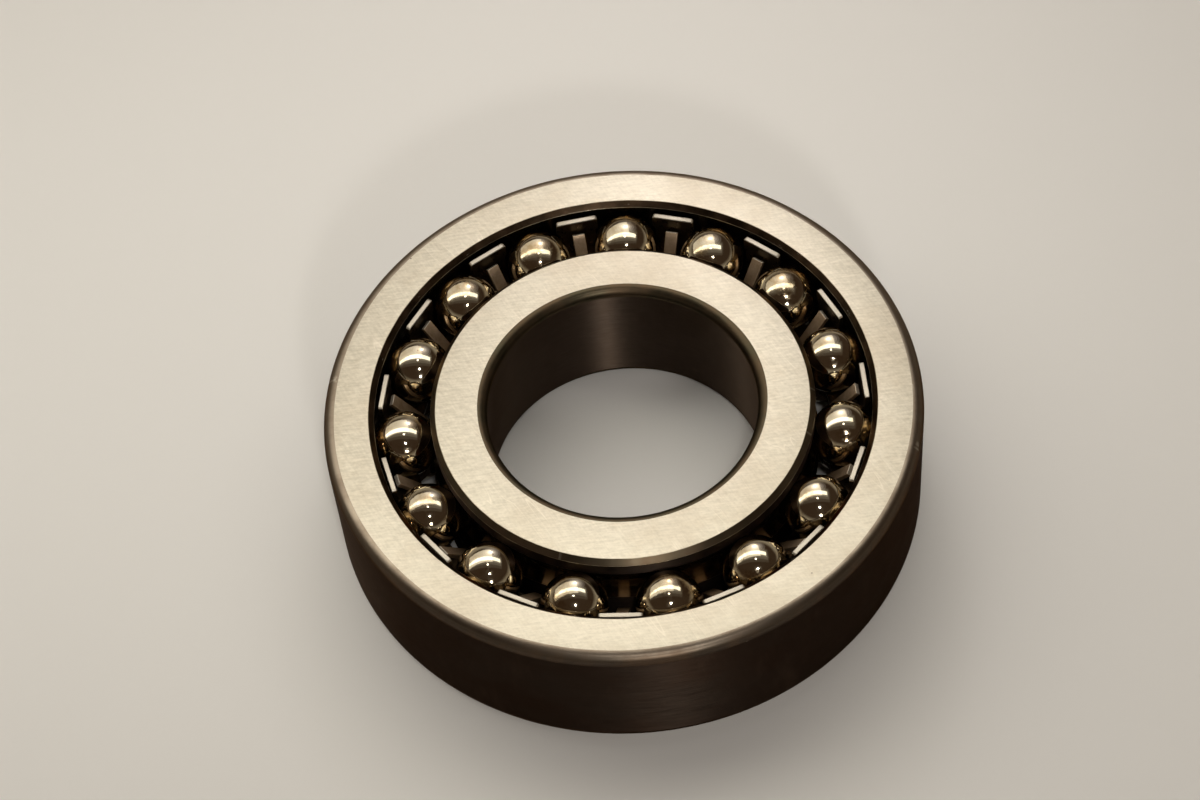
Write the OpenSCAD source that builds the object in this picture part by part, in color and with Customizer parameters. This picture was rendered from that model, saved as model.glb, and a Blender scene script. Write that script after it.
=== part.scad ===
// Double-row self-aligning ball bearing with a tapered bore.
// The origin is the bearing centre: the middle of the width, on the axis, where the spherical
// raceway has its centre. +Z runs along the axis, towards the small end of the bore.

/* [Rings] */
// Outside diameter of the outer ring
outside_d = 100; // [99:0.5:102]
// Width of both rings
ring_w = 25; // [24.5:0.25:26]
// Bore diameter at the small end of its taper
bore_d = 45; // [43:0.5:45.5]
// Length of bore over which its diameter grows by 1
bore_taper = 12; // [12:1:30]
// Rounding of the outer ring's outside edges
outside_edge_r = 1.9; // [1:0.1:2.2]
// Rounding of the bore's two edges
bore_edge_r = 1.6; // [1:0.1:1.8]
// Chamfer where a side face meets the raceway side of a ring
face_chamfer = 0.9; // [0.5:0.05:1]
// Diameter of the inner ring's two lands, outside the grooves
land_d = 64.2; // [63.8:0.1:64.6]
// Diameter of the rib between the two grooves
rib_d = 65.1; // [64.8:0.1:65.4]

/* [Balls] */
// Balls in each of the two rows
balls_per_row = 15; // [13:1:15]
// Ball diameter
ball_d = 11.112; // [10.9:0.001:11.15]
// Diameter of the circle through the ball centres of one row
pitch_d = 73.86; // [73.7:0.01:74]
// Distance from the middle plane to the ball centres of one row
row_offset = 6.4; // [6.3:0.05:6.5]
// Groove radius as a share of the ball diameter
groove_conformity = 0.52; // [0.515:0.005:0.53]
// Gap between a ball and each raceway
running_gap = 0.02; // [0.01:0.005:0.03]

/* [Cage] */
// Thickness of the cage's sheet steel
sheet_t = 0.8; // [0.6:0.05:0.85]
// Distance from the axis to the outer face of a tab
tab_face_r = 40.92; // [40.7:0.02:41]
// Height of a tab's end above the middle plane
tab_top = 10.7; // [10.2:0.1:10.9]
// Width of a tab's head
head_w = 7.3; // [6.8:0.1:7.4]
// Width of a tab beside the balls
waist_w = 6.4; // [6:0.1:6.6]
// Height above the middle plane where the waist ends
waist_top = 7.6; // [7.2:0.1:8]
// Rounding of the head's corners
head_corner_r = 0.6; // [0.3:0.1:0.9]
// Width of a finger
finger_w = 2.1; // [1.8:0.1:2.4]
// Slope of a finger to the middle plane, in degrees
finger_slope = 51.5; // [51:0.5:52]
// Length of a finger's straight part
finger_len = 8.5; // [7.5:0.1:8.6]
// Distance from the axis to the centre of a finger's fold
fold_centre_r = 34.8; // [34.6:0.1:35]
// Inside radius of the cage's bends
bend_r = 0.5; // [0.4:0.05:0.6]
// Inside radius of the flat web
web_in_r = 35.3; // [35.1:0.1:35.5]
// Outside radius of the flat web between two tabs
web_out_r = 38.9; // [38.5:0.1:39.1]
// Direction of the first upper tab from +X, in degrees
first_tab_angle = -95.62; // [-96:0.01:-95]

/* [Hidden] */
$fn = 96;

ring_colour = [0.77, 0.74, 0.69];
cage_colour = [0.62, 0.59, 0.53];
ball_colour = [0.85, 0.85, 0.84];

// A ball touches the outer ring and its groove on one line through the bearing centre
ball_pitch = 360 / balls_per_row;
ball_r = ball_d / 2;
pitch_r = pitch_d / 2;
ball_reach = norm([pitch_r, row_offset]);
contact_angle = atan2(row_offset, pitch_r);
sphere_r = ball_reach + ball_r + running_gap;
groove_r = groove_conformity * ball_d;
groove_reach = ball_reach - ball_r - running_gap + groove_r;

half_w = ring_w / 2;
outside_r = outside_d / 2;
corner_r = outside_r - outside_edge_r;
corner_z = half_w - outside_edge_r;
chamfer_z = half_w - face_chamfer;
raceway_edge_r = sqrt(sphere_r ^ 2 - chamfer_z ^ 2);
mouth_r = raceway_edge_r + face_chamfer;
land_r = land_d / 2;
rib_r = rib_d / 2;
bore_slope = atan(1 / bore_taper / 2);
bend_out_r = bend_r + sheet_t;
bend_z = bend_r + sheet_t / 2;
bend_start_r = tab_face_r - bend_out_r;
// The two rows sit half a pitch apart, so each upper tab stands above a lower ball
half_pitch = ball_pitch / 2;
// Stock left under a cut or a joint so that neighbouring shapes share some volume
lap = 1;

function two_digits(i) = str(i < 10 ? "0" : "", i);
function ball_name(row, i) = str("ball_", row, "_", two_digits(i));
// Direction of the i-th of a row's pieces, counted clockwise from above
function turn(first, i) = first - ball_pitch * (i - 1);
function bore_r_at(z) = (bore_d / 2) + (half_w - z) * tan(bore_slope);

module outer_ring() {
    color(ring_colour)
        rotate_extrude()
            outer_ring_section();
}

module outer_ring_section() {
    difference() {
        union() {
            translate([raceway_edge_r - lap, -half_w])
                square([corner_r - raceway_edge_r + lap, ring_w]);
            translate([corner_r - lap, -corner_z])
                square([outside_edge_r + lap, 2 * corner_z]);
            for (side = [-1, 1])
                translate([corner_r, side * corner_z])
                    circle(r = outside_edge_r);
        }
        circle(r = sphere_r);
        for (side = [-1, 1])
            mouth_cut(side);
    }
}

// The chamfer between a side face and the spherical raceway
module mouth_cut(side) {
    polygon([
        [raceway_edge_r, side * chamfer_z],
        [mouth_r + lap, side * (half_w + lap)],
        [raceway_edge_r - 2 * lap, side * (half_w + lap)],
        [raceway_edge_r - 2 * lap, side * chamfer_z]
    ]);
}

module inner_ring() {
    color(ring_colour)
        rotate_extrude()
            inner_ring_section();
}

module inner_ring_section() {
    difference() {
        union() {
            inner_ring_blank();
            for (side = [-1, 1])
                translate(bore_corner(side))
                    circle(r = bore_edge_r);
        }
        for (side = [-1, 1])
            translate(groove_reach * [cos(contact_angle), side * sin(contact_angle)])
                circle(r = groove_r);
    }
}

// Centre of the rounding between a side face and the tapered bore
function bore_corner(side) =
    let (z = side * (half_w - bore_edge_r))
    [bore_r_at(z) + bore_edge_r / cos(bore_slope), z];

// Where that rounding runs into the bore's wall
function bore_tangent(side) =
    bore_corner(side) - bore_edge_r * [cos(bore_slope), sin(bore_slope)];

module inner_ring_blank() {
    polygon([
        bore_tangent(-1),
        [bore_corner(-1)[0], -half_w],
        [land_r - face_chamfer, -half_w],
        [land_r, -chamfer_z],
        [land_r, -row_offset],
        [rib_r, -row_offset],
        [rib_r, row_offset],
        [land_r, row_offset],
        [land_r, chamfer_z],
        [land_r - face_chamfer, half_w],
        [bore_corner(1)[0], half_w],
        bore_tangent(1)
    ]);
}

module cage() {
    color(cage_colour) {
        web();
        for (i = [1:balls_per_row]) {
            rotate([0, 0, turn(first_tab_angle, i)])
                prong();
            rotate([0, 0, turn(first_tab_angle + half_pitch, i)])
                mirror([0, 0, 1])
                    prong();
        }
    }
}

// The flat annulus between the two rows, with a step for each bend
module web() {
    translate([0, 0, -sheet_t / 2])
        linear_extrude(sheet_t)
            difference() {
                union() {
                    circle(r = web_out_r);
                    at_each_prong()
                        translate([web_out_r - lap, -waist_w / 2])
                            square([bend_start_r - web_out_r + lap, waist_w]);
                }
                difference() {
                    circle(r = web_in_r);
                    at_each_prong()
                        translate([fold_centre_r, -finger_w / 2])
                            square([lap, finger_w]);
                }
            }
}

module at_each_prong() {
    for (i = [0:2 * balls_per_row - 1])
        rotate(first_tab_angle + half_pitch * i)
            children();
}

// An outer tab and the inner finger behind it, both bent up from the web
module prong() {
    tab_bend();
    translate([tab_face_r - sheet_t, 0, 0])
        rotate([90, 0, 90])
            linear_extrude(sheet_t)
                tab_outline();
    rotate([90, 0, 0])
        linear_extrude(finger_w, center = true)
            finger_section();
}

module tab_bend() {
    translate([bend_start_r, 0, bend_z])
        rotate([90, 0, 0])
            linear_extrude(waist_w, center = true)
                difference() {
                    intersection() {
                        circle(r = bend_out_r);
                        translate([0, -bend_out_r]) square(bend_out_r);
                    }
                    circle(r = bend_r);
                }
}

// Width across, height up, as seen from the axis
module tab_outline() {
    shoulder = (head_w - waist_w) / 2;
    head_x = head_w / 2 - head_corner_r;
    polygon([
        [-waist_w / 2, bend_z],
        [waist_w / 2, bend_z],
        [waist_w / 2, waist_top],
        [head_w / 2, waist_top + shoulder],
        [head_w / 2, tab_top - head_corner_r],
        [head_x, tab_top],
        [-head_x, tab_top],
        [-head_w / 2, tab_top - head_corner_r],
        [-head_w / 2, waist_top + shoulder],
        [-waist_w / 2, waist_top]
    ]);
    for (side = [-1, 1])
        translate([side * head_x, tab_top - head_corner_r])
            circle(r = head_corner_r);
}

// Distance from the axis across, height up: a fold back over the web, then a straight rising strip
module finger_section() {
    translate([fold_centre_r, bend_z]) {
        difference() {
            circle(r = bend_out_r);
            circle(r = bend_r);
            translate([0, -2 * bend_out_r])
                square(4 * bend_out_r);
            rotate(finger_slope)
                translate([0, -2 * bend_out_r])
                    square(4 * bend_out_r);
        }
        rotate(finger_slope)
            translate([0, bend_r])
                square([finger_len, sheet_t]);
    }
}

module ball(first, i, side) {
    color(ball_colour)
        rotate([0, 0, turn(first, i)])
            translate([pitch_r, 0, side * row_offset])
                sphere(r = ball_r);
}

module ball_upper(i) {
    ball(first_tab_angle + half_pitch, i, 1);
}

module ball_lower(i) {
    ball(first_tab_angle, i, -1);
}

outer_ring();
inner_ring();
cage();
for (i = [1:balls_per_row]) {
    ball_upper(i);
    ball_lower(i);
}
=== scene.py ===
"""Looks of a double-row self-aligning ball bearing: rings, cage and balls in oiled steel."""

import math

import bmesh
import bpy
from mathutils import Matrix, Vector


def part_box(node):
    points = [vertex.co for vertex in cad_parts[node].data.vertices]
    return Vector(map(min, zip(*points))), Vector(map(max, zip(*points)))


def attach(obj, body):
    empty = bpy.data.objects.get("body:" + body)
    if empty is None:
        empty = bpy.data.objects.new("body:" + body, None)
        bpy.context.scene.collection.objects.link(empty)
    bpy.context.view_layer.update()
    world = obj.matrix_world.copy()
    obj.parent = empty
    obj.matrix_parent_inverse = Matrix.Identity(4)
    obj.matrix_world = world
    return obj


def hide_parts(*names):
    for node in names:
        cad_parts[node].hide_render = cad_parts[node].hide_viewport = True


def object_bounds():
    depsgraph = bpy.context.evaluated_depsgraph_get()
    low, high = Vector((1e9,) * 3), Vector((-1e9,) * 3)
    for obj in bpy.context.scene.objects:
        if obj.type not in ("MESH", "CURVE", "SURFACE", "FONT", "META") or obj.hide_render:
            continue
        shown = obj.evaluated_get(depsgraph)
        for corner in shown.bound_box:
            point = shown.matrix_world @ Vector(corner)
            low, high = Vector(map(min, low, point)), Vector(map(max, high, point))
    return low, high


MM = 0.001

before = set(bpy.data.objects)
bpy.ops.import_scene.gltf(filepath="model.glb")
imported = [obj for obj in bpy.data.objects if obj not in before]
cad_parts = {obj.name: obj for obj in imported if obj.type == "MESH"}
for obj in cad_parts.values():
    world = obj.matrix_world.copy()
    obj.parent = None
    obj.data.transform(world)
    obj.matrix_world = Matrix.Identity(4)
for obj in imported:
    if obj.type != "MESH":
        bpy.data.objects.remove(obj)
cad_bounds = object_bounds()


# ---------------------------------------------------------------- sizes, in millimetres

OUTSIDE_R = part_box("outer_ring")[1].x / MM
HALF_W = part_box("outer_ring")[1].z / MM
OUTSIDE_EDGE_R = 1.9
FACE_CHAMFER = 0.9
LAND_R = 32.1
RIB_R = 32.55
# Growth of the bore's diameter for each millimetre of its length
BORE_TAPER = 1 / 12
BORE_SMALL_R = 22.5
BORE_LARGE_R = BORE_SMALL_R + BORE_TAPER * HALF_W
BORE_EDGE_R = 1.6
# Radius of the softened edge between two machined surfaces
EDGE = 0.12

BALLS_PER_ROW = 15
BALL_R = (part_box("ball_upper_01")[1].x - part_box("ball_upper_01")[0].x) / 2 / MM
PITCH_R = 36.93
ROW_OFFSET = 6.4
# A ball touches the outer ring and its groove on one line through the bearing's centre
CONTACT_ANGLE = math.atan2(ROW_OFFSET, PITCH_R)
SPHERE_R = 43.057
GROOVE_R = 5.778
# Distance from the bearing's centre to the centre of a groove's arc
GROOVE_REACH = 37.684

SHEET_T = 0.8
TAB_FACE_R = 40.92
TAB_TOP = 10.7
HEAD_W = 7.3
WAIST_W = 6.4
WAIST_TOP = 7.6
HEAD_CORNER_R = 0.6
FINGER_W = 2.1
FINGER_SLOPE = math.radians(51.5)
FINGER_LEN = 8.5
FOLD_CENTRE_R = 34.8
BEND_R = 0.5
WEB_IN_R = 35.3
WEB_OUT_R = 38.9
PRONGS = 2 * BALLS_PER_ROW
FIRST_TAB = math.radians(-95.62)
# Middle line of a bend: its radius, which is also the height of its centre, and where it starts on the web
BEND_MID_R = BEND_R + SHEET_T / 2
BEND_START_R = TAB_FACE_R - BEND_R - SHEET_T
# The cage's softened edges: their width, their segments and the angle from which an edge gets one
CAGE_EDGE_W = 0.24
CAGE_EDGE_SEGMENTS = 3
CAGE_EDGE_FROM = math.radians(40)
# Points of the cage closer than this are welded
WELD = 0.01

# How finely the meshes are divided
RING_SEGMENTS = 288
RACEWAY_STEPS = 40
GROOVE_STEPS = 24
FILLET_STEP = math.radians(9)
BALL_CUTS = 23
BEND_STEPS = 8
FOLD_STEPS = 12
HEAD_CORNER_STEPS = 3
# Edges with a larger angle than this are shown sharp, in degrees
RING_SHARP = 25
BALL_SHARP = 180
CAGE_SHARP = 30


# ---------------------------------------------------------------- mesh helpers

def polar(radius, angle):
    return Vector((radius * math.cos(angle), radius * math.sin(angle)))


def arc(centre, radius, start, end, steps):
    """Points of an arc in the section plane, from angle start to angle end, both ends included."""
    return [Vector(centre) + polar(radius, start + (end - start) * i / steps) for i in range(steps + 1)]


def rounded(corners):
    """A closed outline from (point, fillet radius, finish of the stretch after it).

    Returns the outline's points and the finish of the stretch after each. A fillet's own finish is 'edge', or
    the worn and highlit finish if it is only a softened edge, whose pale tone is partly painted highlight."""
    points = []
    finishes = []
    for i, (corner, radius, finish) in enumerate(corners):
        corner = Vector(corner)
        if radius == 0:
            points.append(corner)
            finishes.append(finish)
            continue
        to_last = (Vector(corners[i - 1][0]) - corner).normalized()
        to_next = (Vector(corners[(i + 1) % len(corners)][0]) - corner).normalized()
        half = to_last.angle(to_next) / 2
        centre = corner + (to_last + to_next).normalized() * (radius / math.sin(half))
        reach = radius / math.tan(half)
        start = corner + to_last * reach - centre
        sweep = start.angle_signed(corner + to_next * reach - centre)
        steps = max(2, round(abs(sweep) / FILLET_STEP))
        points += [centre + Matrix.Rotation(-sweep * k / steps, 2) @ start for k in range(steps + 1)]
        finishes += ["highlit_worn" if radius == EDGE else "edge"] * steps + [finish]
    return points, finishes


def add_wall(bm, first, second, materials):
    """Faces between two closed loops of points, from their materials' numbers; None leaves a face out."""
    for i, material in enumerate(materials):
        j = (i + 1) % len(materials)
        if material is not None:
            bm.faces.new((first[i], first[j], second[j], second[i])).material_index = material


def finish_mesh(name, bm, materials, sharp_angle):
    """Makes the mesh, smooth except across edges sharper than sharp_angle degrees."""
    mesh = bpy.data.meshes.new(name)
    bm.to_mesh(mesh)
    bm.free()
    for material in materials:
        mesh.materials.append(material)
    mesh.polygons.foreach_set("use_smooth", [True] * len(mesh.polygons))
    mesh.set_sharp_from_angle(angle=math.radians(sharp_angle))
    return mesh


def lathe(name, corners, materials):
    """Turns a closed section about Z; each stretch gets the material of its finish."""
    outline, finishes = rounded(corners)
    names = list(materials)
    numbers = [names.index(finish) for finish in finishes]
    bm = bmesh.new()
    rings = []
    for k in range(RING_SEGMENTS):
        turn = 2 * math.pi * k / RING_SEGMENTS
        rings.append([bm.verts.new((*polar(p.x * MM, turn), p.y * MM)) for p in outline])
    for k in range(RING_SEGMENTS):
        add_wall(bm, rings[(k + 1) % RING_SEGMENTS], rings[k], numbers)
    bmesh.ops.recalc_face_normals(bm, faces=bm.faces)
    return finish_mesh(name, bm, materials.values(), RING_SHARP)


def new_piece(mesh, body, slot, *nodes):
    """Links a mesh as a piece that rides on body and stands for these CAD nodes."""
    piece = bpy.data.objects.new(mesh.name, mesh)
    bpy.context.scene.collection.objects.link(piece)
    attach(piece, body)
    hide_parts(*nodes)
    return piece


# ---------------------------------------------------------------- material helpers

def set_stops(fade, stops):
    """Gives a colour ramp its (position, level or colour) stops."""
    while len(fade.elements) < len(stops):
        fade.elements.new(0.5)
    for element, (position, level) in zip(fade.elements, stops):
        element.position = position
        element.color = (level, level, level, 1) if isinstance(level, (int, float)) else (*level, 1)


class Graph:
    """A Principled material's node tree, built by short calls."""

    # Share of a speck's radius that is solid; the rest fades out
    SPECK_CORE = 0.6

    def __init__(self, name, **shader):
        self.material = bpy.data.materials.new(name)
        self.material.use_nodes = True
        self.tree = self.material.node_tree
        self.shader = self.tree.nodes["Principled BSDF"]
        self.set(self.shader, shader)
        self.place = self.node("TexCoord").outputs["Object"]

    def set(self, node, values):
        for key, value in values.items():
            socket = node.inputs[key if isinstance(key, int) else key.replace("_", " ")]
            if isinstance(value, bpy.types.NodeSocket):
                self.tree.links.new(value, socket)
            else:
                socket.default_value = value

    def node(self, kind, values=None, **settings):
        node = self.tree.nodes.new("ShaderNode" + kind)
        for key, value in settings.items():
            setattr(node, key, value)
        self.set(node, values or {})
        return node

    def math(self, operation, a, b=0.0):
        return self.node("Math", {0: a, 1: b}, operation=operation).outputs[0]

    def plus(self, a, b):
        return self.math("ADD", a, b)

    def times(self, a, b):
        return self.math("MULTIPLY", a, b)

    def vector_math(self, operation, values):
        return self.node("VectorMath", values, operation=operation)

    def stretch(self, place, scale):
        return self.node("Mapping", {"Vector": place, "Scale": scale}).outputs[0]

    def flat(self):
        """The point's place with its height left out."""
        parts = self.node("SeparateXYZ", {0: self.place}).outputs
        return self.node("CombineXYZ", {0: parts[0], 1: parts[1]}).outputs[0]

    def radius(self):
        """Distance from the axis, in metres."""
        return self.vector_math("LENGTH", {0: self.flat()}).outputs["Value"]

    def height(self):
        """Height above the bearing's middle plane, in metres."""
        return self.node("SeparateXYZ", {0: self.place}).outputs[2]

    def around(self, length):
        """A place that changes only length times as fast round the axis as it does along or away from it."""
        way = self.vector_math("NORMALIZE", {0: self.flat()}).outputs[0]
        ring = self.vector_math("SCALE", {0: way, "Scale": OUTSIDE_R * MM * length}).outputs[0]
        rise = self.node("CombineXYZ", {2: self.plus(self.height(), self.radius())}).outputs[0]
        return self.vector_math("ADD", {0: ring, 1: rise}).outputs[0]

    def noise(self, place, scale, detail=3.0, roughness=0.5):
        """Noise from 0 to 1; scale is in features per metre."""
        values = {"Vector": place, "Scale": scale, "Detail": detail, "Roughness": roughness}
        return self.node("TexNoise", values).outputs["Fac"]

    def ramp(self, value, *stops):
        """Maps a value through (position, level or colour) stops."""
        node = self.node("ValToRGB", {0: value})
        set_stops(node.color_ramp, stops)
        return node.outputs[0]

    def rise(self, value, start, end):
        """0 where the value is under start, 1 where it is over end, and a slope between them."""
        return self.ramp(value, (start, 0.0), (end, 1.0))

    def thin_lines(self, place, scale, width):
        """1 on thin contour lines of a noise, 0 elsewhere."""
        level = self.math("ABSOLUTE", self.math("SUBTRACT", self.noise(place, scale, detail=1), 0.5))
        return self.ramp(level, (0.0, 1.0), (width, 0.0))

    def specks(self, scale, size, rarity):
        """1 in small round specks; scale is in cells per metre, size is a speck's share of a cell."""
        cells = self.node("TexVoronoi", {"Vector": self.place, "Scale": scale})
        dot = self.ramp(cells.outputs["Distance"], (size * self.SPECK_CORE, 1.0), (size, 0.0))
        chance = self.node("SeparateXYZ", {0: cells.outputs["Color"]}).outputs[0]
        return self.times(dot, self.math("GREATER_THAN", chance, rarity))

    def mix(self, share, a, b):
        """Colour a where share is 0, b where it is 1."""
        node = self.node("Mix", data_type="RGBA")
        for socket, value in zip((node.inputs[0], node.inputs[6], node.inputs[7]), (share, a, b)):
            if isinstance(value, bpy.types.NodeSocket):
                self.tree.links.new(value, socket)
            else:
                socket.default_value = value if isinstance(value, float) else (*value, 1)
        return node.outputs[2]

    def cover(self, tone, colour, mask, strength=1.0):
        """The tone with a colour laid over it where the mask is 1, as densely as strength says."""
        return self.mix(self.times(mask, strength), tone, colour)

    def paint(self, tone, roughness):
        self.set(self.shader, {"Base Color": tone, "Roughness": roughness})

    def bump(self, height, strength, depth):
        """Raises the surface where height is 1; depth is in millimetres."""
        values = {"Height": height, "Strength": strength, "Distance": depth * MM}
        self.set(self.shader, {"Normal": self.node("Bump", values).outputs[0]})


# ---------------------------------------------------------------- materials

# Angle between the two sets of grinding strokes on a side face
CROSSING = math.radians(62)
# How dark steel films tint what they mirror at a grazing angle
OILY_RIM = (0.41, 0.37, 0.345, 1)
STAIN = (0.47, 0.37, 0.26)
SMUDGE = (0.40, 0.31, 0.21)
PIT = (0.10, 0.07, 0.05)
GRIT = (0.03, 0.02, 0.015)
BARE = (0.80, 0.74, 0.64)
# Radii in millimetres between the bore's edge, the inner ring's outer edge and the outer ring's mouth
BORE_EDGE_TO = 27.0
MOUTH_FROM = 37.0
# The outer ring's outside rounding, from dark to pale: share of the half width, and colour. Painted light:
# pale where it turns up to the face, as a painted highlight, and dark towards the side, as painted shade
ROUNDING_PAINTED_LIGHT = (
    (0.86, (0.052, 0.040, 0.032)),
    (0.93, (0.080, 0.062, 0.047)),
    (0.975, (0.19, 0.156, 0.123)),
    (1.0, (0.32, 0.27, 0.22)),
)


def ground_face():
    """The rings' side faces: ground to satin in short strokes along X, with stains, pits and scratches."""
    g = Graph("ground_face", Metallic=0.65)
    turned = g.node("VectorRotate", {"Vector": g.place, "Angle": CROSSING}, rotation_type="Z_AXIS").outputs[0]
    strokes = g.noise(g.stretch(g.place, (0.2, 1, 1)), scale=2500, roughness=0.6)
    crossing = g.noise(g.stretch(turned, (0.12, 1, 1)), scale=2900, detail=2)
    grain = g.noise(g.place, scale=2200, roughness=0.65)
    lines = g.plus(g.times(strokes, 0.5), g.times(crossing, 0.22))
    lines = g.plus(lines, g.times(grain, 0.28))
    cloud = g.rise(g.noise(g.place, scale=45, detail=5, roughness=0.62), 0.48, 0.72)
    smudge = g.rise(g.noise(g.place, scale=260, detail=4, roughness=0.7), 0.55, 0.8)
    scratched = g.rise(g.noise(g.place, scale=70, detail=1), 0.54, 0.60)
    scratch = g.times(g.thin_lines(g.stretch(turned, (0.08, 1, 1)), scale=420, width=0.007), scratched)
    pits = g.math("MAXIMUM", g.specks(120, size=0.035, rarity=0.6), g.specks(330, size=0.06, rarity=0.84))
    tone = g.mix(g.rise(lines, 0.36, 0.64), (0.475, 0.437, 0.364), (0.68, 0.633, 0.54))
    tone = g.cover(tone, STAIN, cloud, 0.28)
    tone = g.cover(tone, SMUDGE, smudge, 0.22)
    tone = g.cover(tone, BARE, scratch, 0.55)
    tone = g.cover(tone, PIT, pits, 0.8)
    g.paint(tone, g.plus(g.ramp(lines, (0.3, 0.30), (0.7, 0.40)), g.times(cloud, 0.06)))
    hollow = g.plus(g.times(scratch, 0.4), pits)
    g.bump(g.math("SUBTRACT", g.times(lines, 0.3), hollow), strength=0.35, depth=0.03)
    return g.material


def round_graph(name, anisotropic):
    """A dark steel that mirrors the light along fine lines round the axis, and those lines."""
    g = Graph(name, Metallic=1.0, Anisotropic=anisotropic, Anisotropic_Rotation=0.25, Specular_Tint=OILY_RIM)
    g.set(g.shader, {"Tangent": g.node("Tangent", direction_type="RADIAL", axis="Z").outputs[0]})
    return g, g.noise(g.around(0.04), scale=5200, roughness=0.6)


def finish_round(g, lines, tone, roughness):
    """Adds the grit and the relief that the outside cylinder and the bore share."""
    g.paint(g.cover(tone, GRIT, g.specks(150, size=0.04, rarity=0.8)), roughness)
    g.bump(lines, strength=0.2, depth=0.01)
    return g.material


def ground_round():
    """The outside cylinder, lands and rib: ground in fine lines round the axis, with films of oil; their
    near-black tone is painted shade, a dark reflection put into the colour.
    """
    g, lines = round_graph("ground_round", 0.95)
    film = g.rise(g.noise(g.stretch(g.place, (1, 1, 1.6)), scale=55, detail=4, roughness=0.6), 0.4, 0.68)
    drip = g.rise(g.noise(g.stretch(g.place, (1, 1, 0.3)), scale=190, detail=4, roughness=0.65), 0.56, 0.74)
    # Painted shade: a near-black base standing for the dark surroundings this steel mirrors
    tone = g.mix(g.rise(lines, 0.3, 0.7), (0.031, 0.0225, 0.0175), (0.053, 0.039, 0.031))
    tone = g.cover(tone, (0.040, 0.022, 0.014), film, 0.5)
    tone = g.cover(tone, (0.10, 0.070, 0.052), drip, 0.3)
    roughness = g.plus(g.ramp(lines, (0.3, 0.40), (0.7, 0.50)), g.times(film, 0.06))
    return finish_round(g, lines, tone, roughness)


def bore_steel():
    """The bore: as the outside cylinder, a little less dark; its near-black tone is also painted shade."""
    g, lines = round_graph("bore_steel", 1.0)
    film = g.rise(g.noise(g.stretch(g.place, (1, 1, 0.7)), scale=80, detail=4, roughness=0.6), 0.4, 0.68)
    # Painted shade: a near-black base standing for the dark surroundings the bore mirrors
    tone = g.mix(g.rise(lines, 0.3, 0.7), (0.068, 0.049, 0.038), (0.098, 0.074, 0.059))
    tone = g.cover(tone, (0.065, 0.044, 0.030), film, 0.45)
    roughness = g.plus(g.ramp(lines, (0.3, 0.40), (0.7, 0.46)), g.times(film, 0.05))
    return finish_round(g, lines, tone, roughness)


def edge_steel():
    """Chamfers and roundings: turned, hardened, brown, with bright nicks along the edges outside the bore.
    The outside rounding carries a painted highlight and painted shade, and the mouth chamfer painted shade.
    """
    g = Graph("edge_steel", Metallic=1.0, Specular_Tint=OILY_RIM)
    radius = g.radius()
    in_bore = g.math("LESS_THAN", radius, BORE_EDGE_TO * MM)
    in_mouth = g.math("GREATER_THAN", radius, MOUTH_FROM * MM)
    outside = g.math("GREATER_THAN", radius, (OUTSIDE_R - 2 * OUTSIDE_EDGE_R) * MM)
    tool = g.noise(g.around(0.05), scale=2600)
    patch = g.noise(g.place, scale=190, detail=4, roughness=0.65)
    nick = g.rise(g.noise(g.around(0.35), scale=620, roughness=0.7), 0.66, 0.74)
    nick = g.times(nick, g.math("GREATER_THAN", radius, BORE_EDGE_TO * MM))
    share = g.times(g.math("ABSOLUTE", g.height()), 1 / (HALF_W * MM))
    tone = g.mix(g.rise(tool, 0.3, 0.7), (0.068, 0.052, 0.034), (0.112, 0.090, 0.062))
    tone = g.mix(in_bore, tone, (0.062, 0.052, 0.034))
    # Painted shade: the outer ring's mouth chamfer, facing into the gap between the rings, is made near black
    tone = g.mix(in_mouth, tone, (0.027, 0.018, 0.011))
    # Painted highlight and painted shade on the outside rounding: pale next to the face, dark towards the
    # side
    tone = g.mix(outside, tone, g.ramp(share, *ROUNDING_PAINTED_LIGHT))
    tone = g.cover(tone, (0.13, 0.08, 0.05), g.rise(patch, 0.42, 0.7), 0.5)
    tone = g.cover(tone, BARE, nick, 0.5)
    g.paint(tone, g.ramp(patch, (0.3, 0.31), (0.7, 0.43)))
    g.bump(g.math("SUBTRACT", g.times(tool, 0.3), nick), strength=0.3, depth=0.05)
    return g.material


def worn_and_highlit_steel():
    """The softened edges between two machined surfaces, rubbed bright in places; their pale tone is partly
    painted highlight, the thin line of light such edges catch.
    """
    g = Graph("worn_and_highlit_steel", Metallic=1.0)
    rub = g.noise(g.place, scale=260, detail=4, roughness=0.65)
    # Partly wear, partly painted highlight: a pale tone that draws a thin light line along the edge
    tone = g.mix(g.rise(rub, 0.35, 0.65), (0.16, 0.125, 0.08), (0.46, 0.41, 0.32))
    g.paint(tone, g.ramp(rub, (0.3, 0.38), (0.7, 0.30)))
    return g.material


def raceway_steel():
    """Polished raceways under a film of amber oil."""
    g = Graph("raceway_steel", Metallic=1.0, Coat_Weight=0.6, Coat_Roughness=0.06)
    film = g.noise(g.place, scale=90, detail=4, roughness=0.6)
    track = g.noise(g.around(0.02), scale=1800, detail=2)
    tone = g.mix(g.rise(film, 0.35, 0.7), (0.44, 0.36, 0.25), (0.27, 0.18, 0.09))
    tone = g.cover(tone, (0.5, 0.44, 0.34), g.rise(track, 0.45, 0.7), 0.3)
    g.paint(tone, g.ramp(film, (0.3, 0.10), (0.7, 0.22)))
    return g.material


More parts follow.
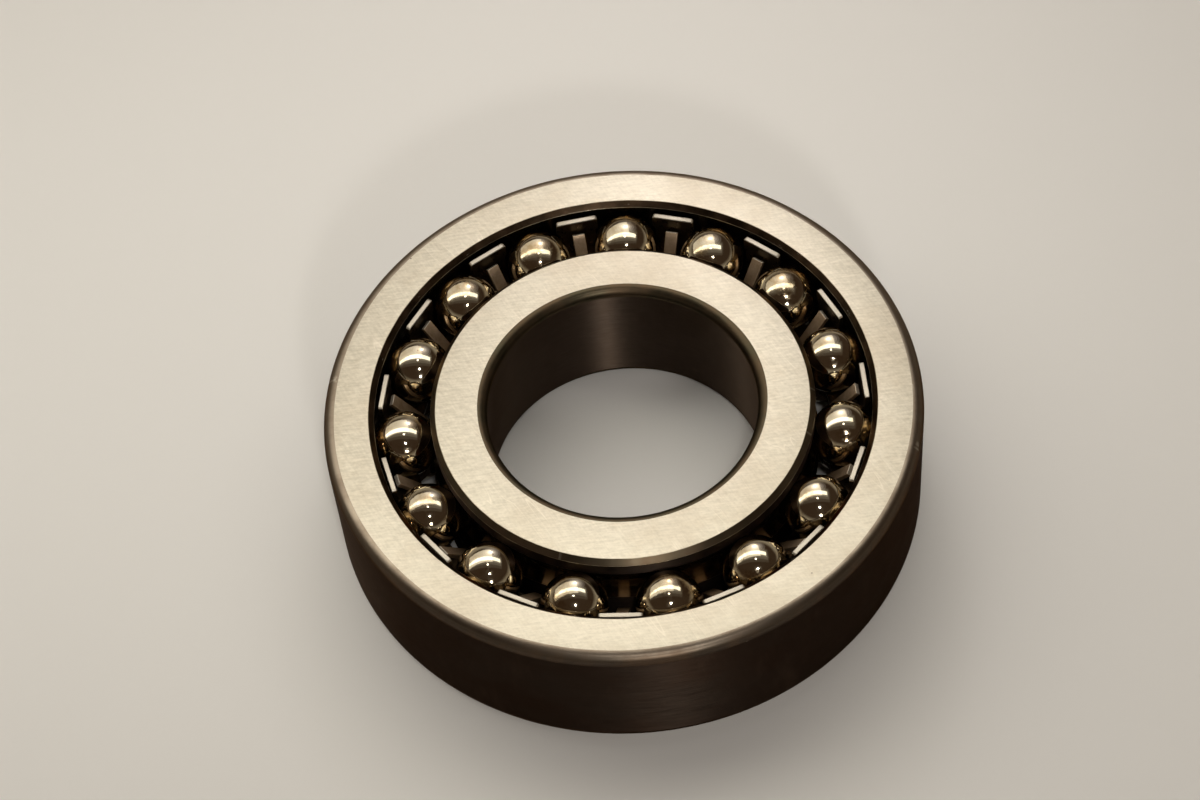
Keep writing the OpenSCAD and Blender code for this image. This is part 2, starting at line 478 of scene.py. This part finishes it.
def ball_steel():
    """Mirror-polished balls with thin smears, specks and fine droplets of amber oil."""
    g = Graph("ball_steel", Metallic=1.0)
    smear = g.noise(g.place, scale=210, detail=4, roughness=0.6)
    wipe = g.noise(g.stretch(g.place, (1.0, 0.6, 1.5)), scale=2200, roughness=0.6)
    share = g.times(g.rise(smear, 0.46, 0.68), 0.85)
    tone = g.mix(share, (0.61, 0.55, 0.435), (0.40, 0.275, 0.135))
    tone = g.cover(tone, (0.25, 0.18, 0.10), g.specks(900, size=0.16, rarity=0.86), 0.7)
    haze = g.times(g.ramp(wipe, (0.48, 0.0), (0.62, 0.22)), g.plus(share, 0.15))
    g.paint(tone, g.plus(haze, 0.06))
    droplets = g.times(g.noise(g.place, scale=2400, roughness=0.6), g.rise(smear, 0.46, 0.66))
    g.bump(droplets, strength=1.0, depth=0.02)
    return g.material


def cage_sheet():
    """The stamped sheet: dull, drawn in the press, with oil in its corners, and darker the deeper it lies, as
    painted shade.
    """
    g = Graph("cage_sheet", Metallic=0.95)
    grain = g.noise(g.place, scale=1500, detail=4, roughness=0.65)
    oil = g.rise(g.noise(g.place, scale=240, detail=4, roughness=0.6), 0.42, 0.68)
    centimetres_off = g.math("ABSOLUTE", g.times(g.height(), 100))
    # Painted shade: the sheet darkens towards the middle plane, deep between the rings
    depth = g.ramp(centimetres_off, (0.15, 1.0), (0.72, 0.0))
    tone = g.mix(grain, (0.68, 0.515, 0.37), (0.46, 0.345, 0.24))
    tone = g.cover(tone, (0.22, 0.145, 0.08), oil, 0.5)
    tone = g.cover(tone, (0.115, 0.076, 0.043), depth, 0.8)
    g.paint(tone, g.ramp(grain, (0.3, 0.44), (0.7, 0.56)))
    g.bump(grain, strength=0.3, depth=0.02)
    return g.material


def shaded_tab_sheet():
    """The web and the tabs' flat sides: a darker copy of the stamped sheet, painted shade for where they lie
    between the balls and the rings.
    """
    g = Graph("shaded_tab_sheet", Metallic=1.0)
    grain = g.noise(g.place, scale=1500, detail=4, roughness=0.65)
    # Painted shade: the same sheet made darker for the web and tabs' sides, which lie in shade inside the
    # bearing
    tone = g.mix(grain, (0.17, 0.125, 0.080), (0.100, 0.070, 0.042))
    g.paint(tone, g.ramp(grain, (0.3, 0.24), (0.7, 0.38)))
    g.bump(grain, strength=0.3, depth=0.02)
    return g.material


def cut_edge():
    """The sheet's sheared edges, brighter, with the shear's fine cross marks."""
    g = Graph("cut_edge", Metallic=0.8)
    marks = g.noise(g.place, scale=2600, roughness=0.6)
    tone = g.mix(g.rise(marks, 0.3, 0.7), (0.50, 0.46, 0.40), (0.59, 0.55, 0.48))
    g.paint(tone, g.ramp(marks, (0.3, 0.36), (0.7, 0.5)))
    g.bump(marks, strength=0.4, depth=0.03)
    return g.material


# ---------------------------------------------------------------- rings

def raceway_corners(centre, radius, start, end, steps, next_finish):
    """Corners along a raceway's arc in the section, its two ends softened; next_finish comes after it."""
    corners = [(p, 0, "raceway") for p in arc(centre, radius, start, end, steps)]
    corners[0] = (corners[0][0], EDGE, "raceway")
    corners[-1] = (corners[-1][0], EDGE, next_finish)
    return corners


def outer_ring_corners():
    """The outer ring's section, with the spherical raceway centred on the bearing."""
    edge_angle = math.asin((HALF_W - FACE_CHAMFER) / SPHERE_R)
    mouth_r = SPHERE_R * math.cos(edge_angle) + FACE_CHAMFER
    return [
        ((mouth_r, HALF_W), EDGE, "face"),
        ((OUTSIDE_R, HALF_W), OUTSIDE_EDGE_R, "round"),
        ((OUTSIDE_R, -HALF_W), OUTSIDE_EDGE_R, "face"),
        ((mouth_r, -HALF_W), EDGE, "edge"),
        *raceway_corners((0, 0), SPHERE_R, -edge_angle, edge_angle, RACEWAY_STEPS, "edge"),
    ]


def groove_corners(side):
    """One groove of the inner ring, from the top down: side is 1 for the upper one, -1 for the lower."""
    centre = polar(GROOVE_REACH, side * CONTACT_ANGLE)
    at_land = math.pi - side * math.acos((centre.x - LAND_R) / GROOVE_R)
    at_rib = math.pi + side * math.acos((centre.x - RIB_R) / GROOVE_R)
    start, end = (at_land, at_rib) if side > 0 else (at_rib, at_land)
    return raceway_corners(centre, GROOVE_R, start, end, GROOVE_STEPS, "round")


def inner_ring_corners():
    """The inner ring's section, with its two grooves and the tapered bore."""
    chamfer_r = LAND_R - FACE_CHAMFER
    chamfer_z = HALF_W - FACE_CHAMFER
    return [
        ((BORE_SMALL_R, HALF_W), BORE_EDGE_R, "face"),
        ((chamfer_r, HALF_W), EDGE, "edge"),
        ((LAND_R, chamfer_z), EDGE, "round"),
        *groove_corners(1),
        *groove_corners(-1),
        ((LAND_R, -chamfer_z), EDGE, "edge"),
        ((chamfer_r, -HALF_W), EDGE, "face"),
        ((BORE_LARGE_R, -HALF_W), BORE_EDGE_R, "bore"),
    ]


def add_rings():
    finishes = {
        "face": ground_face(),
        "round": ground_round(),
        "edge": edge_steel(),
        "raceway": raceway_steel(),
        "bore": bore_steel(),
        "highlit_worn": worn_and_highlit_steel(),
    }
    for ring, corners in (("outer_ring", outer_ring_corners()), ("inner_ring", inner_ring_corners())):
        new_piece(lathe(ring + "_steel", corners, finishes), ring, "ring_steel", ring)


# ---------------------------------------------------------------- balls

def ball_directions():
    """A bmesh whose points are unit vectors: a cube's grid blown up to a sphere, so that no pole shows."""
    bm = bmesh.new()
    bmesh.ops.create_cube(bm, size=2)
    bmesh.ops.subdivide_edges(bm, edges=bm.edges, cuts=BALL_CUTS, use_grid_fill=True)
    for vert in bm.verts:
        vert.co = Vector(math.tan(c * math.pi / 4) for c in vert.co).normalized()
    return bm


def add_balls():
    """Each ball's place is in its mesh, so the smears on it differ from its neighbours'."""
    unit = ball_directions()
    normals = [vert.co.copy() for vert in unit.verts]
    steel = ball_steel()
    for row in ("upper", "lower"):
        for i in range(1, BALLS_PER_ROW + 1):
            node = f"ball_{row}_{i:02d}"
            low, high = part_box(node)
            bm = unit.copy()
            for vert in bm.verts:
                vert.co = (low + high) / 2 + vert.co * BALL_R * MM
            mesh = finish_mesh("steel_" + node, bm, [steel], BALL_SHARP)
            mesh.normals_split_custom_set_from_vertices(normals)
            new_piece(mesh, node, "ball_steel", node)
    unit.free()


# ---------------------------------------------------------------- cage

# Order of the cage's materials: stamped sheet, sheared edges, and the web and tabs, dark with painted shade
SHEET = 0
CUT = 1
TAB = 2
# Sides of a web sector's outline where the finger, a neighbour, the tab and the other neighbour join on
OPEN_SIDES = (3, 7, 11, 15)


def bend_path(centre_r, start, end, steps, half_width):
    """Middle line of a bend out of the web in the section plane, as (point, normal, half width)."""
    centre = Vector((centre_r, BEND_MID_R))
    angles = [start + (end - start) * k / steps for k in range(steps + 1)]
    return [(centre + polar(BEND_MID_R, a), polar(1, a), half_width) for a in angles]


def tab_path():
    """Middle line of a tab: the bend, the waist beside the balls and the wider, rounded head."""
    path = bend_path(BEND_START_R, -math.pi / 2, 0, BEND_STEPS, WAIST_W / 2)
    outwards = Vector((1, 0))
    middle_r = TAB_FACE_R - SHEET_T / 2
    shoulder = (HEAD_W - WAIST_W) / 2
    path.append((Vector((middle_r, WAIST_TOP)), outwards, WAIST_W / 2))
    path.append((Vector((middle_r, WAIST_TOP + shoulder)), outwards, HEAD_W / 2))
    for k in range(HEAD_CORNER_STEPS + 1):
        a = math.pi / 2 * k / HEAD_CORNER_STEPS
        z = TAB_TOP - HEAD_CORNER_R * (1 - math.sin(a))
        path.append((Vector((middle_r, z)), outwards, HEAD_W / 2 - HEAD_CORNER_R * (1 - math.cos(a))))
    return path


def finger_path():
    """Middle line of a finger: the fold back from the web and the straight part."""
    path = bend_path(FOLD_CENTRE_R, 3 * math.pi / 2, math.pi / 2 + FINGER_SLOPE, FOLD_STEPS, FINGER_W / 2)
    last, normal, half_width = path[-1]
    path.append((last + polar(FINGER_LEN, FINGER_SLOPE), normal, half_width))
    return path


def add_strip(bm, path, turn, side, finish, bare_tail=0):
    """Sweeps a sheet strip along a path; its first section is left open, to be welded to the web.

    The last bare_tail stretches and the end are bare sheared metal."""
    spin = Matrix.Rotation(turn, 3, "Z")
    sections = []
    for point, normal, half_width in path:
        section = []
        for across, along in ((-1, -1), (1, -1), (1, 1), (-1, 1)):
            p = point + normal * (along * SHEET_T / 2)
            section.append(bm.verts.new(spin @ Vector((p.x, across * half_width, side * p.y)) * MM))
        sections.append(section)
    for k in range(1, len(sections)):
        bare = k >= len(sections) - bare_tail
        add_wall(bm, sections[k - 1], sections[k], [CUT if bare else finish] * 4)
    bm.faces.new(sections[-1]).material_index = CUT


def web_outline():
    """Outline of the web's share of one prong: a sector with a tongue inwards and a step outwards."""
    half = math.pi / PRONGS
    tongue = math.asin(FINGER_W / 2 / WEB_IN_R)
    step = math.asin(WAIST_W / 2 / WEB_OUT_R)
    outline = [polar(WEB_IN_R, a) for a in (-half, -(half + tongue) / 2, -tongue)]
    outline += [Vector((FOLD_CENTRE_R, y * FINGER_W / 2)) for y in (-1, 1)]
    outline += [polar(WEB_IN_R, a) for a in (tongue, (half + tongue) / 2, half)]
    outline += [polar(WEB_OUT_R, a) for a in (half, (half + step) / 2, step)]
    outline += [Vector((BEND_START_R, y * WAIST_W / 2)) for y in (1, -1)]
    outline += [polar(WEB_OUT_R, a) for a in (-step, -(half + step) / 2, -half)]
    return outline


def add_web_sector(bm, turn):
    outline = web_outline()
    spin = Matrix.Rotation(turn, 3, "Z")
    low, high = (
        [bm.verts.new(spin @ Vector((p.x, p.y, z * SHEET_T / 2)) * MM) for p in outline] for z in (-1, 1)
    )
    bm.faces.new(high).material_index = TAB
    bm.faces.new(low[::-1]).material_index = TAB
    add_wall(bm, low, high, [None if i in OPEN_SIDES else CUT for i in range(len(outline))])


def cage_mesh():
    """The prongs, up and down in turn, each with its share of the web, welded into one sheet."""
    tab = tab_path()
    finger = finger_path()
    bm = bmesh.new()
    for k in range(PRONGS):
        turn = FIRST_TAB + 2 * math.pi * k / PRONGS
        side = 1 if k % 2 == 0 else -1
        add_web_sector(bm, turn)
        add_strip(bm, tab, turn, side, TAB, bare_tail=2)
        add_strip(bm, finger, turn, side, SHEET)
    bmesh.ops.remove_doubles(bm, verts=bm.verts, dist=WELD * MM)
    bmesh.ops.recalc_face_normals(bm, faces=bm.faces)
    return finish_mesh("stamped_cage", bm, [cage_sheet(), cut_edge(), shaded_tab_sheet()], CAGE_SHARP)


def add_cage():
    cage = new_piece(cage_mesh(), "cage", "cage_steel", "cage")
    soft = cage.modifiers.new("edges", "BEVEL")
    soft.width = CAGE_EDGE_W * MM
    soft.segments = CAGE_EDGE_SEGMENTS
    soft.limit_method = "ANGLE"
    soft.angle_limit = CAGE_EDGE_FROM


add_rings()
add_balls()
add_cage()


# ---------------------------------------------------------------- floor, light, camera, in metres and degrees

FLOOR_SIZE = 6
FLOOR_COLOUR = (0.83, 0.825, 0.83, 1)
FLOOR_ROUGHNESS = 0.6

CEILING_SIZE = (1.8, 1.3)
CEILING_PLACE = Vector((-0.67, 0.79, 0.8))
CEILING_GLOW = 0.82
CEILING_COLOUR = (1.0, 0.93, 0.78)
# Length, width and brightness of the bar's nested strips, from its tube out
BARS = ((0.48, 0.05, 2.0), (0.50, 0.09, 0.16), (0.53, 0.15, 0.08), (0.57, 0.22, 0.04))
BAR_PLACE = Vector((-0.105, 0.064, 0.184))
# Turn of the bar about the vertical, in radians
BAR_YAW = -0.08
BAR_COLOUR = (1.0, 0.965, 0.84)
# Diameter and brightness of the lamp's nested discs, from its bulb out
LAMP_RINGS = ((0.03, 4.2), (0.055, 0.8), (0.09, 0.45), (0.13, 0.25), (0.18, 0.17), (0.24, 0.1))
LAMP_PLACE = Vector((0.02, 0.158, 0.16))
LAMP_COLOUR = (1.0, 0.935, 0.91)
# Step from one nested light up to the next
NEST_STEP = Vector((0, 0, 0.002))
# Name, azimuth, elevation, diameter and brightness
SPOTS = (("high", 88, 89, 0.08, 8), ("middle", -83, 59, 0.07, 75), ("low", -84, 32, 0.09, 72))
SPOT_DISTANCE = 0.9
SPOT_COLOUR = (1.0, 0.955, 0.87)
# The walls' fade: elevation and colour where it starts and where it ends
WALLS = ((12, (0.34, 0.295, 0.225)), (24, (0.052, 0.033, 0.020)))

# The photo's camera: where it looks, from where and how far, and its tilt about the line of sight
CAMERA_AIM = Vector((-0.00364, 0.00034, HALF_W * MM))
CAMERA_DISTANCE = 0.4968
CAMERA_AZIMUTH = -90
CAMERA_ELEVATION = 54.77
CAMERA_ROLL = -5.997
CAMERA_LENS_MM = 89.7
CAMERA_SENSOR_MM = 36
CAMERA_CLIP = 0.01


def direction(azimuth, elevation):
    """Unit vector from the origin towards an azimuth and elevation in degrees."""
    rise = math.radians(elevation)
    return Vector((*polar(math.cos(rise), math.radians(azimuth)), math.sin(rise)))


def add_stage():
    bpy.ops.mesh.primitive_plane_add(size=FLOOR_SIZE, location=(0, 0, cad_bounds[0].z))
    floor = bpy.context.object
    floor.name = "floor"
    paint = Graph("floor_paint", Base_Color=FLOOR_COLOUR, Roughness=FLOOR_ROUGHNESS)
    floor.data.materials.append(paint.material)


def add_light(name, size, place, glow, colour, down=False, yaw=0):
    """A light that faces the origin, or straight down; glow is its brightness.

    It is a disc if size is one number, the diameter, and a rectangle if it is two, turned by yaw radians."""
    data = bpy.data.lights.new(name, "AREA")
    if len(size) == 1:
        data.shape = "DISK"
        area = math.pi * size[0] ** 2 / 4
    else:
        data.shape = "RECTANGLE"
        data.size_y = size[1]
        area = size[0] * size[1]
    data.size = size[0]
    data.energy = glow * area * math.pi
    data.color = colour
    light = bpy.data.objects.new(name, data)
    light.location = place
    back = Vector((0, 0, place.z)) if down else place
    facing = back.to_track_quat("Z", "Y").to_matrix()
    light.rotation_euler = (facing @ Matrix.Rotation(yaw, 3, "Z")).to_euler()
    light.visible_camera = False
    bpy.context.scene.collection.objects.link(light)


def add_lights():
    """A wide ceiling panel and a long bar above the bearing, a lamp behind it and three small spots."""
    add_light("ceiling", CEILING_SIZE, CEILING_PLACE, CEILING_GLOW, CEILING_COLOUR, down=True)
    for i, (length, width, glow) in enumerate(BARS):
        place = BAR_PLACE + NEST_STEP * i
        add_light(f"bar_{i}", (length, width), place, glow, BAR_COLOUR, down=True, yaw=BAR_YAW)
    for i, (size, glow) in enumerate(LAMP_RINGS):
        add_light(f"lamp_{i}", (size,), LAMP_PLACE + NEST_STEP * i, glow, LAMP_COLOUR)
    for name, azimuth, elevation, size, glow in SPOTS:
        place = direction(azimuth, elevation) * SPOT_DISTANCE
        add_light("spot_" + name, (size,), place, glow, SPOT_COLOUR)


def add_camera():
    forward = -direction(CAMERA_AZIMUTH, CAMERA_ELEVATION)
    right = Matrix.Rotation(-math.radians(CAMERA_ROLL), 3, forward) @ Vector((1, 0, 0))
    data = bpy.data.cameras.new("camera")
    data.sensor_width = CAMERA_SENSOR_MM
    data.lens = CAMERA_LENS_MM
    data.clip_start = CAMERA_CLIP
    camera = bpy.data.objects.new("camera", data)
    turn = Matrix((right, right.cross(forward), -forward)).transposed()
    camera.matrix_world = Matrix.Translation(CAMERA_AIM - forward * CAMERA_DISTANCE) @ turn.to_4x4()
    bpy.context.scene.collection.objects.link(camera)
    bpy.context.scene.camera = camera


def add_world():
    """A dim room whose walls are paler near the floor."""
    world = bpy.data.worlds.new("studio")
    world.use_nodes = True
    tree = world.node_tree
    place = tree.nodes.new("ShaderNodeTexCoord")
    height = tree.nodes.new("ShaderNodeSeparateXYZ")
    wall = tree.nodes.new("ShaderNodeValToRGB")
    tree.links.new(place.outputs["Generated"], height.inputs[0])
    tree.links.new(height.outputs[2], wall.inputs[0])
    tree.links.new(wall.outputs[0], tree.nodes["Background"].inputs["Color"])
    set_stops(wall.color_ramp, [(math.sin(math.radians(elevation)), colour) for elevation, colour in WALLS])
    bpy.context.scene.world = world


add_stage()
add_world()
add_lights()
add_camera()
bpy.context.scene.view_settings.view_transform = "Standard"
